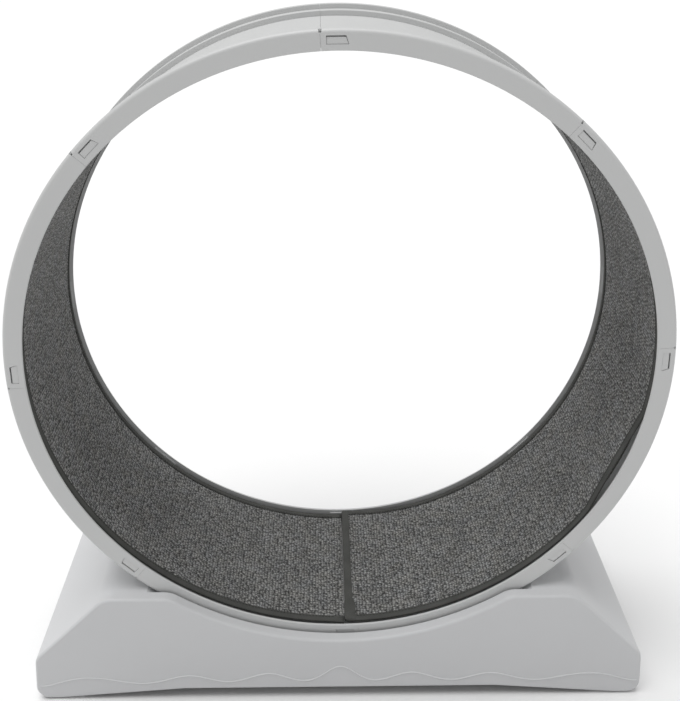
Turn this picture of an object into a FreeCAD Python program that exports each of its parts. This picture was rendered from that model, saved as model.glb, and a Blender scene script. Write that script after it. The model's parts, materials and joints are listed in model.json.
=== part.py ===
"""Cat exercise wheel: eight snapped segments, lined with a carpet, that turn on four rollers in a base.

Millimetres. +X is right, +Y goes away from the viewer, +Z is up. The origin is on the floor, under the
middle of the wheel, whose axis lies along Y. A piece of the wheel is drawn in a frame of its own, whose
Z is the wheel's axis and points at the viewer, so that a positive angle is anticlockwise in front view.
"""

import FreeCAD
import Part

import math
import os

import Sketcher
from FreeCAD import Placement, Rotation, Vector

# ----------------------------------------------------------------------------------------------------
# Driving dimensions: alias, value, meaning
# ----------------------------------------------------------------------------------------------------
DIMENSIONS = [
    ("rim_radius", 500.0, "outer radius of the wheel's two rims"),
    ("ledge_radius", 492.0, "track that the rollers run on"),
    ("floor_radius", 483.0, "outside of the drum between the tracks"),
    ("lip_radius", 470.6, "inner edge of the front and back lips"),
    ("wheel_width", 316.0, "front lip to back lip"),
    ("rim_land", 16.0, "width of a rim's top"),
    ("ledge_width", 20.0, "width of a roller track"),
    ("skin", 3.0, "wall of a wheel segment"),
    ("rim_round", 6.0, "rounding of a rim's outer corner"),
    ("edge_round", 1.2, "rounding of the lips and steps"),
    ("segment_count", 8.0, "segments in the wheel"),
    ("seam_gap", 0.035, "angle left open at each seam, degrees"),
    ("seam_turn", 3.64, "first seam's turn from the top, anticlockwise, degrees"),
    ("wheel_height", 597.5, "wheel's axis above the floor"),
    ("window_start", 7.0, "seam to latch window"),
    ("window_long", 30.4, "latch window's inner side"),
    ("window_short", 26.8, "latch window's outer side"),
    ("window_inner", 479.2, "latch window's inner radius"),
    ("window_outer", 490.9, "latch window's outer radius"),
    ("window_gap", 0.45, "gap round the latch tab"),
    ("window_top_gap", 2.1, "gap on the outer side of the latch tab"),
    ("window_end_gap", 0.6, "gap at the far end of the latch tab"),
    ("tab_sink", 0.8, "latch tab below the lip's face"),
    ("tongue_gap", 0.4, "tongue behind the lip's inner face"),
    ("tongue_thick", 2.4, "thickness of a latch tongue"),
    ("tongue_reach", 43.0, "tongue beyond the seam"),
    ("tongue_root", 9.0, "tongue's root before the seam"),
    ("root_clear", 1.2, "tongue's root clear of the seam"),
    ("tongue_inner", 474.5, "tongue's inner radius"),
    ("tongue_outer", 489.4, "tongue's outer radius"),
    ("nick_depth", 5.0, "depth of the nick where two rim corners meet"),
    ("nick_half", 1.5, "half width of that nick"),
    ("carpet_outer", 479.0, "underside of the carpet"),
    ("carpet_inner", 476.0, "running face of the carpet"),
    ("carpet_width", 290.0, "carpet without its binding"),
    ("carpet_shift", 4.5, "carpet's middle behind the wheel's middle"),
    ("carpet_join", 1.4, "carpet's joint from the bottom, anticlockwise, degrees"),
    ("carpet_gap", 0.22, "angle left open at the carpet's joint, degrees"),
    ("binding_thick", 0.5, "thickness of the binding tape"),
    ("binding_wide", 10.0, "binding tape over each face"),
    ("base_half", 497.5, "half the base's length at the top of its ends"),
    ("foot_half", 502.0, "half the base's length at its lower edge"),
    ("base_depth", 360.0, "front face to back face"),
    ("base_lift", 2.0, "base's lowest edge above the floor"),
    ("shoulder_height", 199.0, "flat shoulder above the floor"),
    ("shoulder_half", 381.0, "shoulder's outer end from the middle"),
    ("flank_height", 82.5, "top of the base's steep end"),
    ("saddle_radius", 483.0, "arc in the front and back walls"),
    ("trough_radius", 506.0, "trough under the wheel"),
    ("trough_width", 324.0, "trough between the walls"),
    ("shoulder_round", 38.0, "rounding of the shoulder's corners"),
    ("flank_round", 28.0, "rounding between slope and end"),
    ("corner_round", 22.0, "rounding of the lower corners"),
    ("face_round", 4.5, "rounding between the faces and the top"),
    ("arch_rise", 16.0, "lower edge's rise in the middle"),
    ("arch_flat", 257.0, "half the raised stretch"),
    ("arch_end", 460.0, "where the lower edge is back down"),
    ("base_skin", 3.5, "wall of the base"),
    ("rib_thick", 2.5, "stiffening ribs inside the base"),
    ("rib_low", 26.0, "lower edge of the ribs"),
    ("plate_thick", 9.0, "corner plates that carry the feet"),
    ("plate_long", 78.0, "a corner plate along the base"),
    ("plate_wide", 66.0, "a corner plate across the base"),
    ("plate_shift", 10.0, "a corner plate's middle beyond its foot"),
    ("boss_margin", 4.0, "boss under a roller cradle, beyond its flange"),
    ("boss_thick", 9.0, "thickness of that boss"),
    ("boss_sink", 5.0, "boss below the flange's underside"),
    ("post_wall", 2.4, "wall of a screw post"),
    ("post_long", 16.0, "length of a screw post"),
    ("post_sink", 1.0, "top of a screw post below the flange's underside"),
    ("seat_gap", 0.4, "gap round a cradle's flange in its seat"),
    ("seat_open", 22.0, "height cut free above a seat"),
    ("well_gap", 0.5, "gap round a cradle's well"),
    ("ridge_high", 1.0, "height of the wavy line over the face"),
    ("ridge_half", 0.5, "half the wavy line's width"),
    ("roller_angle", 30.0, "rollers either side of the bottom, degrees"),
    ("roller_radius", 20.0, "outside of a roller's tyre"),
    ("roller_width", 15.0, "width of a roller"),
    ("roller_offset", 132.0, "rollers' middle from the wheel's middle"),
    ("roller_play", 0.3, "gap between tyre and track"),
    ("tyre_round", 1.5, "rounding of the tyre's shoulders"),
    ("hub_radius", 14.5, "roller hub under its tyre"),
    ("hub_bore", 4.5, "hub's bore beside the bearing"),
    ("bearing_radius", 9.5, "outside of a roller's bearing"),
    ("bearing_width", 6.0, "width of a roller's bearing"),
    ("axle_radius", 3.0, "roller axle"),
    ("axle_play", 0.05, "running clearance round the axle"),
    ("cradle_long", 70.0, "roller cradle's flange along the wheel"),
    ("cradle_wide", 46.0, "roller cradle's flange across the wheel"),
    ("cradle_top", 6.0, "flange's top above the axle"),
    ("cradle_thick", 3.0, "thickness of the flange"),
    ("well_long", 50.0, "cradle's well along the wheel"),
    ("well_wide", 29.0, "cradle's well across the wheel"),
    ("well_deep", 25.5, "cradle's well below the axle"),
    ("well_floor", 2.5, "thickness of the well's floor and ends"),
    ("roller_side_gap", 1.5, "gap between a roller and its cradle's walls"),
    ("screw_offset", 30.2, "screws from the axle, along the wheel"),
    ("screw_radius", 2.0, "screw hole in the base"),
    ("screw_play", 0.02, "screw's shank below its hole's radius"),
    ("screw_clear", 0.25, "extra radius of the screw holes in a flange"),
    ("screw_long", 17.5, "length of a screw's shank"),
    ("head_radius", 3.7, "screw head's rim"),
    ("head_top", 2.6, "screw head's flat top"),
    ("head_high", 2.3, "height of a screw's head"),
    ("slot_long", 4.0, "length of the cross in a screw's head"),
    ("slot_wide", 0.9, "width of that cross"),
    ("slot_deep", 0.9, "depth of that cross"),
    ("foot_radius", 17.0, "rubber foot"),
    ("foot_high", 4.0, "thickness of a rubber foot"),
    ("foot_along", 452.0, "feet from the middle, along the base"),
    ("foot_across", 152.0, "feet from the middle, across the base"),
]

# Half of the wavy line on the front face: distance from the middle, and height above the floor.
WAVE = [
    (0.0, 63.2),
    (26.0, 48.8),
    (54.0, 34.9),
    (85.0, 40.6),
    (116.0, 49.9),
    (150.0, 41.3),
    (184.0, 33.7),
    (216.0, 40.2),
    (248.0, 47.0),
    (284.0, 39.2),
    (324.0, 31.9),
    (373.0, 39.6),
    (422.0, 44.2),
    (458.0, 36.6),
    (478.0, 30.2),
    (494.0, 28.5),
]

CORNERS = [
    ("front_left", -1, -1),
    ("front_right", 1, -1),
    ("rear_left", -1, 1),
    ("rear_right", 1, 1),
]

CROSS_RIBS = [-440, -330, -220, -110, 0, 110, 220, 330, 440]
LONG_RIBS = [-60, 60]
FULL_TURN = 360.0
HALF_SLOPE = 22.5  # half the angle of the base's sloped shoulder, degrees
LIFT = 1.0  # a cutting sketch's height over the face that it cuts
SPARE = 2.0  # a solid's overrun past the face that it is cut from or joined to
OVERRUN = 10.0  # a rib's overrun into the base's walls
NEAR = 0.01  # an edge this close to a size or a place has that size or place
SPOT = 0.5  # an edge this close to a drawn corner is that corner's
WAVE_STEPS = 3  # points on the wavy line for each point of its list

doc = FreeCAD.newDocument("cat_exercise_wheel")
sheet = doc.addObject("Spreadsheet::Sheet", "Sizes")
for row, (alias, value, meaning) in enumerate(DIMENSIONS, start=1):
    sheet.set(f"A{row}", meaning)
    sheet.set(f"B{row}", str(value))
    sheet.setAlias(f"B{row}", alias)
doc.recompute()

pieces = []


# ----------------------------------------------------------------------------------------------------
# Sizes as values and as expressions
# ----------------------------------------------------------------------------------------------------
class Term:
    """A length that knows both its value and the sheet expression it comes from."""

    def __init__(self, value, text):
        self.value = float(value)
        self.text = text

    def __add__(self, other):
        other = as_term(other)
        return Term(self.value + other.value, f"({self.text} + {other.text})")

    def __sub__(self, other):
        other = as_term(other)
        return Term(self.value - other.value, f"({self.text} - {other.text})")

    def __mul__(self, factor):
        return Term(self.value * factor, f"({self.text} * {factor})")

    def __truediv__(self, divisor):
        return Term(self.value / divisor, f"({self.text} / {divisor})")

    def __neg__(self):
        return Term(-self.value, f"(-1 * {self.text})")


class Sizes:
    """The sheet's cells as terms: one attribute for each alias."""

    def __getattr__(self, alias):
        return Term(getattr(sheet, alias), f"Sizes.{alias}")


def as_term(item):
    """A plain number or a term, as a term."""
    return item if isinstance(item, Term) else Term(item, repr(float(item)))


def bind(item, name, value):
    """Sets one property of an object from a term, and ties it to the sheet."""
    term = as_term(value)
    setattr(item, name, term.value)
    item.setExpression(name, term.text)


def keep(item, label):
    """Names an object as one piece of the wheel."""
    item.Label = label
    pieces.append(item)
    return item


at = Sizes()
WHEEL_CENTRE = Vector(0, 0, at.wheel_height.value)
WHEEL_CENTRE_IN_SKETCH = Vector(0, at.wheel_height.value, 0)
FACING_VIEWER = Rotation(Vector(1, 0, 0), 90)


def wheel_place(turn):
    """Placement of a wheel piece turned anticlockwise, in the front view, by so many degrees."""
    return Placement(WHEEL_CENTRE, FACING_VIEWER * Rotation(Vector(0, 0, 1), turn))


def roller_place(side, end):
    """Placement of a roller: local Z points at the wheel's axis, local Y along the base's depth."""
    reach = (at.ledge_radius + at.roller_radius + at.roller_play).value
    angle = math.radians(at.roller_angle.value) * side
    away = Vector(math.sin(angle) * reach, end * at.roller_offset.value, -math.cos(angle) * reach)
    return Placement(WHEEL_CENTRE + away, Rotation(Vector(0, 1, 0), -math.degrees(angle)))


# ----------------------------------------------------------------------------------------------------
# Sketches, solids and edges
# ----------------------------------------------------------------------------------------------------
def new_sketch(body, name, role, offset=0.0, turn=0.0):
    """An empty sketch on one of a body's own origin planes."""
    plane = next(item for item in body.Origin.OriginFeatures if item.Role == role)
    sketch = body.newObject("Sketcher::SketchObject", name)
    sketch.AttachmentSupport = [(plane, "")]
    sketch.MapMode = "FlatFace"
    height = as_term(offset)
    sketch.AttachmentOffset = Placement(Vector(0, 0, height.value), Rotation(Vector(0, 0, 1), turn))
    sketch.setExpression("AttachmentOffset.Base.z", height.text)
    return sketch


def outline(body, name, role, corners, offset=0.0, turn=0.0):
    """A closed sketch whose corners are pairs of terms, each tied to the sheet."""
    sketch = new_sketch(body, name, role, offset, turn)
    corners = [(as_term(x), as_term(y)) for x, y in corners]
    points = [Vector(x.value, y.value, 0) for x, y in corners]
    count = len(points)
    sides = [Part.LineSegment(points[index], points[(index + 1) % count]) for index in range(count)]
    sketch.addGeometry(sides, False)
    rules = [Sketcher.Constraint("Coincident", index, 2, (index + 1) % count, 1) for index in range(count)]
    for index, (x, y) in enumerate(corners):
        rules.append(Sketcher.Constraint("DistanceX", index, 1, x.value))
        rules.append(Sketcher.Constraint("DistanceY", index, 1, y.value))
    sketch.addConstraint(rules)
    for index, (x, y) in enumerate(corners):
        sketch.setExpression(f"Constraints[{count + 2 * index}]", x.text)
        sketch.setExpression(f"Constraints[{count + 2 * index + 1}]", y.text)
    return sketch


def disc(body, name, radius):
    """A circle about the wheel's axis, drawn on a base body's front view."""
    sketch = new_sketch(body, name, "XZ_Plane")
    sketch.addGeometry(Part.Circle(WHEEL_CENTRE_IN_SKETCH, Vector(0, 0, 1), radius.value), False)
    marks = sketch.addConstraint(
        [
            Sketcher.Constraint("DistanceX", 0, 3, 0.0),
            Sketcher.Constraint("DistanceY", 0, 3, at.wheel_height.value),
            Sketcher.Constraint("Radius", 0, radius.value),
        ]
    )
    sketch.setExpression(f"Constraints[{marks[1]}]", at.wheel_height.text)
    sketch.setExpression(f"Constraints[{marks[2]}]", radius.text)
    return sketch


def sketched(body, kind, name, profile, length, both_sides=False, backwards=False):
    """A pad or a pocket of one sketch, its length tied to the sheet."""
    feature = body.newObject(f"PartDesign::{kind}", name)
    feature.Profile = profile
    bind(feature, "Length", length)
    if both_sides:
        feature.SideType = "Symmetric"
    feature.Reversed = backwards
    body.Tip = feature
    return feature


def rounded(body, name, before, wanted, radius):
    """A fillet on every edge of the last feature that the test wanted accepts."""
    doc.recompute()
    names = [f"Edge{index}" for index, edge in enumerate(before.Shape.Edges, start=1) if wanted(edge)]
    if not names:
        raise RuntimeError(f"{name} finds no edge")
    feature = body.newObject("PartDesign::Fillet", name)
    feature.Base = (before, names)
    bind(feature, "Radius", radius)
    body.Tip = feature
    doc.recompute()
    return feature


def round_about_z(wanted):
    """A test for round edges about Z whose (radius, height) is in the wanted list."""

    def test(edge):
        curve = edge.Curve
        if not isinstance(curve, Part.Circle) or abs(curve.Center.x) + abs(curve.Center.y) > NEAR:
            return False
        return any(abs(curve.Radius - r) < NEAR and abs(curve.Center.z - z) < NEAR for r, z in wanted)

    return test


def along_y(*spots):
    """A test for straight edges along Y that pass one of the (x, z) spots."""

    def test(edge):
        ends = [vertex.Point for vertex in edge.Vertexes]
        if len(ends) != 2 or abs(ends[0].x - ends[1].x) > NEAR or abs(ends[0].z - ends[1].z) > NEAR:
            return False
        return any(math.hypot(abs(ends[0].x) - x, ends[0].z - z) < SPOT for x, z in spots)

    return test


def block(name, along, across, high, low=0.0, x=0.0, y=0.0, place=None):
    """A box centred on x and y whose underside is at low; all its sizes are terms."""
    box = doc.addObject("Part::Box", name)
    along, across, high, low = as_term(along), as_term(across), as_term(high), as_term(low)
    x, y = as_term(x), as_term(y)
    bind(box, "Length", along)
    bind(box, "Width", across)
    bind(box, "Height", high)
    corner = Vector(x.value - along.value / 2, y.value - across.value / 2, low.value)
    if place is None:
        box.Placement = Placement(corner, Rotation())
        box.setExpression("Placement.Base.x", (x - along / 2).text)
        box.setExpression("Placement.Base.y", (y - across / 2).text)
        box.setExpression("Placement.Base.z", low.text)
    else:
        box.Placement = place.multiply(Placement(corner, Rotation()))
    return box


def rod(name, radius, high, low=0.0, x=0.0, y=0.0, place=None):
    """An upright cylinder whose foot is at low."""
    item = doc.addObject("Part::Cylinder", name)
    bind(item, "Radius", radius)
    bind(item, "Height", high)
    foot = Placement(Vector(as_term(x).value, as_term(y).value, as_term(low).value), Rotation())
    item.Placement = foot if place is None else place.multiply(foot)
    return item


def across_rod(name, radius, length):
    """A cylinder along local Y, centred on a roller's axle."""
    item = doc.addObject("Part::Cylinder", name)
    bind(item, "Radius", radius)
    bind(item, "Height", length)
    item.Placement = Placement(Vector(0, as_term(length).value / 2, 0), Rotation(Vector(1, 0, 0), 90))
    return item


def fused(name, items):
    """One object from several."""
    union = doc.addObject("Part::MultiFuse", name)
    union.Shapes = items
    return union


def less(name, base, tool):
    """One object with another cut out of it."""
    cut = doc.addObject("Part::Cut", name)
    cut.Base = base
    cut.Tool = tool
    return cut


# ----------------------------------------------------------------------------------------------------
# The wheel's segments
# ----------------------------------------------------------------------------------------------------
def segment_section():
    """The moulding's section, one wall thick: lip, rim, roller track, drum floor, and back again."""
    face = at.wheel_width / 2
    flank = face - at.rim_land
    track = flank - at.ledge_width
    outer = [
        (at.lip_radius, face),
        (at.rim_radius, face),
        (at.rim_radius, flank),
        (at.ledge_radius, flank),
        (at.ledge_radius, track),
        (at.floor_radius, track),
    ]
    inner = [
        (at.floor_radius - at.skin, track + at.skin),
        (at.ledge_radius - at.skin, track + at.skin),
        (at.ledge_radius - at.skin, flank + at.skin),
        (at.rim_radius - at.skin, flank + at.skin),
        (at.rim_radius - at.skin, face - at.skin),
        (at.lip_radius, face - at.skin),
    ]
    outer_back = [(radius, -height) for radius, height in reversed(outer)]
    inner_back = [(radius, -height) for radius, height in reversed(inner)]
    return outer + outer_back + inner_back + inner


def latch_corners(inner, outer, start, short_end, long_end):
    """A latch's outline: its outer side is the shorter one, so its far end slants."""
    return [(outer, -start), (outer, -short_end), (inner, -long_end), (inner, -start)]


def make_first_segment():
    """One eighth of the wheel: windows at its anticlockwise end, latch tongues at the other."""
    body = doc.addObject("PartDesign::Body", "Segment")
    section = outline(body, "Section", "XZ_Plane", segment_section())
    ring = body.newObject("PartDesign::Revolution", "Ring")
    ring.Profile = section
    ring.ReferenceAxis = (section, ["V_Axis"])
    bind(ring, "Angle", Term(FULL_TURN, str(FULL_TURN)) / at.segment_count.value - at.seam_gap)
    ring.Reversed = True
    doc.recompute()
    if ring.Shape.BoundBox.YMax > 1.0:
        ring.Reversed = False
        doc.recompute()

    face = (at.wheel_width / 2).value
    flank = face - at.rim_land.value
    track = flank - at.ledge_width.value
    corners = [(at.rim_radius.value, face)]
    steps = [(at.lip_radius.value, face), (at.rim_radius.value, flank), (at.ledge_radius.value, track)]
    corners += [(radius, -height) for radius, height in corners]
    steps += [(radius, -height) for radius, height in steps]
    last = rounded(body, "RimRound", ring, round_about_z(corners), at.rim_round)
    rounded(body, "StepRound", last, round_about_z(steps), at.edge_round)

    # The latch is drawn straight, square to the radius through its own middle.
    reach = at.window_start + at.window_long / 2
    tilt = -math.degrees(reach.value / at.lip_radius.value)
    step = FULL_TURN / at.segment_count.value
    window = latch_corners(
        at.window_inner,
        at.window_outer,
        at.window_start - reach,
        at.window_start + at.window_short - reach,
        at.window_start + at.window_long - reach,
    )
    over_face = at.wheel_width / 2 + LIFT
    drawn = outline(body, "Window", "XY_Plane", window, over_face, tilt)
    mirrored = [sketched(body, "Pocket", "WindowCut", drawn, at.skin + LIFT * 2)]

    nick = [
        (at.rim_radius - at.nick_depth, at.nick_half),
        (at.rim_radius + SPARE, at.nick_half * 2),
        (at.rim_radius + SPARE, -at.nick_half * 2),
        (at.rim_radius - at.nick_depth, -at.nick_half),
    ]
    for name, turn in (("NickStart", 0.0), ("NickEnd", -step)):
        drawn = outline(body, name, "XY_Plane", nick, over_face, turn)
        mirrored.append(sketched(body, "Pocket", name + "Cut", drawn, at.nick_depth + LIFT))

    def strip(first, final):
        """A straight strip over the tongue's width, between two distances past the next seam."""
        return [
            (at.tongue_outer, -(first - reach)),
            (at.tongue_outer, -(final - reach)),
            (at.tongue_inner, -(final - reach)),
            (at.tongue_inner, -(first - reach)),
        ]

    behind = at.wheel_width / 2 - at.skin - at.tongue_gap
    drawn = outline(body, "Tongue", "XY_Plane", strip(-at.tongue_root, at.tongue_reach), behind, tilt - step)
    mirrored.append(sketched(body, "Pad", "TonguePlate", drawn, at.tongue_thick, backwards=True))
    joined = at.wheel_width / 2 - at.skin / 2
    rooted = strip(-at.tongue_root, -at.root_clear)
    drawn = outline(body, "Root", "XY_Plane", rooted, joined, tilt - step)
    height = at.skin / 2 + at.tongue_gap + at.tongue_thick
    mirrored.append(sketched(body, "Pad", "TongueRoot", drawn, height, backwards=True))
    tab = latch_corners(
        at.window_inner + at.window_gap,
        at.window_outer - at.window_top_gap,
        at.window_start + at.window_gap - reach,
        at.window_start + at.window_short - at.window_end_gap - reach,
        at.window_start + at.window_long - at.window_end_gap - reach,
    )
    drawn = outline(body, "Tab", "XY_Plane", tab, at.wheel_width / 2 - at.tab_sink, tilt - step)
    height = at.skin - at.tab_sink + at.tongue_gap + at.tongue_thick / 2
    mirrored.append(sketched(body, "Pad", "Catch", drawn, height, backwards=True))

    twin = body.newObject("PartDesign::Mirrored", "BackTwin")
    twin.Originals = mirrored
    twin.MirrorPlane = (next(i for i in body.Origin.OriginFeatures if i.Role == "XY_Plane"), [""])
    body.Tip = twin
    body.Placement = wheel_place(90.0 + at.seam_turn.value)
    return keep(body, "wheel_segment_1")


def make_segments():
    """The first segment, and its clones round the wheel, clockwise in the front view."""
    first = make_first_segment()
    count = int(at.segment_count.value)
    for index in range(1, count):
        body = doc.addObject("PartDesign::Body", f"Segment{index + 1}")
        clone = doc.addObject("PartDesign::FeatureBase", f"SegmentClone{index + 1}")
        clone.BaseFeature = first
        body.Group = [clone]
        body.Tip = clone
        body.Placement = wheel_place(90.0 + at.seam_turn.value - index * FULL_TURN / count)
        keep(body, f"wheel_segment_{index + 1}")


# ----------------------------------------------------------------------------------------------------
# The running carpet
# ----------------------------------------------------------------------------------------------------
def bent_strip(name, inner, outer, width, inset=0.0):
    """A strip bent round the wheel's axis, open at the carpet's joint, each end drawn back by inset."""
    body = doc.addObject("PartDesign::Body", name)
    front = width / 2 - at.carpet_shift
    back = -width / 2 - at.carpet_shift
    corners = [(inner, front), (outer, front), (outer, back), (inner, back)]
    section = outline(body, name + "Section", "XZ_Plane", corners)
    ring = body.newObject("PartDesign::Revolution", name + "Ring")
    ring.Profile = section
    ring.ReferenceAxis = (section, ["V_Axis"])
    bind(ring, "Angle", Term(FULL_TURN - 2 * inset, str(FULL_TURN - 2 * inset)) - at.carpet_gap)
    body.Tip = ring
    doc.recompute()
    start = -90.0 + at.carpet_join.value + at.carpet_gap.value / 2 + inset
    body.Placement = wheel_place(start)
    return body


def make_carpet():
    """The mat, and the tape that binds its two long edges and its two ends."""
    tape = at.binding_thick
    inset = math.degrees(tape.value / at.carpet_inner.value)
    reach = math.degrees(at.binding_wide.value / at.carpet_inner.value)
    mat = bent_strip("Mat", at.carpet_inner, at.carpet_outer, at.carpet_width, inset)
    wrap = bent_strip("Wrap", at.carpet_inner - tape, at.carpet_outer + tape, at.carpet_width + tape * 2)
    bare = bent_strip(
        "Bare",
        at.carpet_inner - tape * 2,
        at.carpet_outer + tape * 2,
        at.carpet_width - at.binding_wide * 2,
        reach,
    )
    core = bent_strip("Core", at.carpet_inner, at.carpet_outer, at.carpet_width, inset)
    keep(mat, "carpet_mat")
    keep(less("Binding", wrap, fused("BindingRoom", [bare, core])), "carpet_binding")


# ----------------------------------------------------------------------------------------------------
# The base
# ----------------------------------------------------------------------------------------------------
def base_body(name, wall):
    """The base's outside where wall is None; with a wall, the space inside it, open below."""
    solid = wall is None
    wall = as_term(0.0) if solid else wall
    slope_shift = wall * math.tan(math.radians(HALF_SLOPE))
    top = at.shoulder_height - wall
    half = at.base_half - wall
    foot = at.foot_half - wall
    shoulder = at.shoulder_half - slope_shift
    flank = at.flank_height - slope_shift
    low = at.base_lift if solid else as_term(-SPARE)
    right = [(shoulder, top), (half, flank), (foot, low)]
    if solid:
        right += [(at.arch_end, low), (at.arch_flat, low + at.arch_rise)]
    left = [(-x, z) for x, z in reversed(right)]
    body = doc.addObject("PartDesign::Body", name)
    profile = outline(body, name + "Profile", "XZ_Plane", right + left)
    depth = at.base_depth - wall * 2
    last = sketched(body, "Pad", name + "Pad", profile, depth, both_sides=True)
    spots = along_y((shoulder.value, top.value))
    last = rounded(body, name + "Shoulders", last, spots, at.shoulder_round - wall)
    last = rounded(body, name + "Flanks", last, along_y((half.value, flank.value)), at.flank_round - wall)
    if solid:
        last = rounded(body, name + "Corners", last, along_y((foot.value, low.value)), at.corner_round)

    saddle = at.saddle_radius + wall
    arc = disc(body, name + "Arc", saddle)
    last = sketched(body, "Pocket", name + "Saddle", arc, depth + OVERRUN, both_sides=True)
    doc.recompute()
    drop = at.wheel_height.value - top.value
    brink = math.sqrt(saddle.value**2 - drop**2)
    last = rounded(body, name + "Brink", last, along_y((brink, top.value)), at.shoulder_round - wall)
    if solid:
        lower_edge = (at.base_lift + at.arch_rise).value + SPOT
        inner_half = foot.value - at.corner_round.value / 2

        def on_face(edge):
            """A test for the face's edges, without its lower edge between the rounded corners."""
            points = [edge.valueAt(edge.FirstParameter), edge.valueAt(edge.LastParameter)]
            points.append(edge.valueAt((edge.FirstParameter + edge.LastParameter) / 2))
            if any(abs(abs(point.y) - depth.value / 2) > NEAR for point in points):
                return False
            return not (points[2].z < lower_edge and abs(points[2].x) < inner_half)

        last = rounded(body, name + "Faces", last, on_face, at.face_round)
    trough = disc(body, name + "TroughArc", at.trough_radius + wall)
    sketched(body, "Pocket", name + "Trough", trough, at.trough_width + wall * 2, both_sides=True)
    doc.recompute()
    return body


def wave_strip():
    """The wavy line as a flat face in the plane of the base's middle, as wide as the line is."""
    half = at.ridge_half.value
    line = [Vector(-x, 0, z) for x, z in reversed(WAVE[1:])] + [Vector(x, 0, z) for x, z in WAVE]
    curve = Part.BSplineCurve()
    curve.interpolate(line)
    count = len(line) * WAVE_STEPS
    upper = []
    lower = []
    for index in range(count):
        share = index / (count - 1)
        along = curve.FirstParameter + share * (curve.LastParameter - curve.FirstParameter)
        tangent = curve.tangent(along)[0]
        sideways = Vector(-tangent.z, 0, tangent.x)
        upper.append(curve.value(along) + sideways * half)
        lower.append(curve.value(along) - sideways * half)
    sides = []
    for points in (upper, lower):
        side = Part.BSplineCurve()
        side.interpolate(points)
        sides.append(side.toShape())
    ends = [Part.makeLine(upper[-1], lower[-1]), Part.makeLine(lower[0], upper[0])]
    return Part.Face(Part.Wire([sides[0], ends[0], sides[1], ends[1]]))


def wave_ridges():
    """The wavy line on the front and the back face, as low ridges that slant down as they stand out."""
    ridges = []
    reach = at.ridge_high.value + SPARE
    for name, end in (("FrontRidge", -1), ("BackRidge", 1)):
        strip = wave_strip()
        strip.translate(Vector(0, end * (at.base_depth.value / 2 - SPARE), SPARE))
        ridge = doc.addObject("Part::Feature", name)
        ridge.Shape = strip.extrude(Vector(0, end * reach, -reach))
        ridges.append(ridge)
    return ridges


def roller_seats():
    """Under each roller: the bosses the base gains, and the well, seat and screw holes it loses."""
    gained = []
    lost = []
    seat = at.cradle_top - at.cradle_thick
    boss = (at.cradle_long + at.boss_margin * 2, at.cradle_wide + at.boss_margin * 2)
    free = (at.cradle_long + at.seat_gap * 2, at.cradle_wide + at.seat_gap * 2)
    room = (at.well_long + at.well_gap * 2, at.well_wide + at.well_gap * 2)
    room_low = -at.well_deep - at.well_gap * 2
    post_low = seat - at.post_sink - at.post_long
    for tag, side, end in CORNERS:
        place = roller_place(side, end)
        gained.append(block(f"Boss_{tag}", *boss, at.boss_thick, seat - at.boss_sink, place=place))
        lost.append(block(f"Seat_{tag}", *free, at.seat_open, seat, place=place))
        lost.append(block(f"Room_{tag}", *room, seat + LIFT - room_low, room_low, place=place))
        for way, mark in ((-1, "low"), (1, "high")):
            x = at.screw_offset * way
            key = f"{mark}_{tag}"
            wall = at.screw_radius + at.post_wall
            gained.append(rod(f"Post_{key}", wall, at.post_long, post_low, x=x, place=place))
            long_drill = at.post_long + SPARE * 2
            lost.append(rod(f"Drill_{key}", at.screw_radius, long_drill, post_low - LIFT, x=x, place=place))
    return gained, lost


def base_stiffeners():
    """Ribs across and along the inside, and the corner plates that carry the feet."""
    items = []
    high = at.shoulder_height
    for index, x in enumerate(CROSS_RIBS):
        depth = at.base_depth + OVERRUN
        items.append(block(f"CrossRib{index}", at.rib_thick, depth, high, at.rib_low, x=x))
    for index, y in enumerate(LONG_RIBS):
        length = at.base_half * 2 + OVERRUN
        items.append(block(f"LongRib{index}", length, at.rib_thick, high, at.rib_low, y=y))
    plate = (at.plate_long, at.plate_wide, at.plate_thick)
    for tag, side, end in CORNERS:
        x = (at.foot_along + at.plate_shift) * side
        y = at.foot_across * end
        items.append(block(f"CornerPlate_{tag}", *plate, at.foot_high, x=x, y=y))
    return items


def make_base():
    """The moulded base: a ribbed shell, open below, with a trough for the wheel."""
    gained, lost = roller_seats()
    outside = base_body("Outside", None)
    inside = base_body("Inside", at.base_skin)
    hollow = less("Hollow", inside, fused("Stiffening", base_stiffeners() + gained))
    faced = fused("Faced", [outside, *wave_ridges()])
    base = less("Shell", faced, fused("Removed", [hollow, *lost]))
    base.Refine = True
    return keep(base, "base_shell")


# ----------------------------------------------------------------------------------------------------
# Rollers, cradles, screws and feet
# ----------------------------------------------------------------------------------------------------
def make_cradle(tag, place):
    """The moulded cradle: a flange, and a well whose two thick walls hold the axle."""
    seat = at.cradle_top - at.cradle_thick
    flange = block(f"Flange_{tag}", at.cradle_long, at.cradle_wide, at.cradle_thick, seat)
    well = block(f"Well_{tag}", at.well_long, at.well_wide, at.well_deep + at.cradle_top, -at.well_deep)
    room = block(
        f"WellRoom_{tag}",
        at.well_long - at.well_floor * 2,
        at.roller_width + at.roller_side_gap * 2,
        at.well_deep + at.cradle_top + LIFT,
        at.well_floor - at.well_deep,
    )
    holes = [room, across_rod(f"AxleHole_{tag}", at.axle_radius, at.well_wide + SPARE)]
    for way, mark in ((-1, "low"), (1, "high")):
        wide = at.screw_radius + at.screw_clear
        holes.append(rod(f"Hole_{mark}_{tag}", wide, at.cradle_top + SPARE, x=at.screw_offset * way))
    solid = fused(f"CradleSolid_{tag}", [flange, well])
    cradle = less(f"Cradle_{tag}", solid, fused(f"CradleHoles_{tag}", holes))
    cradle.Placement = place
    keep(cradle, f"roller_cradle_{tag}")


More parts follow.
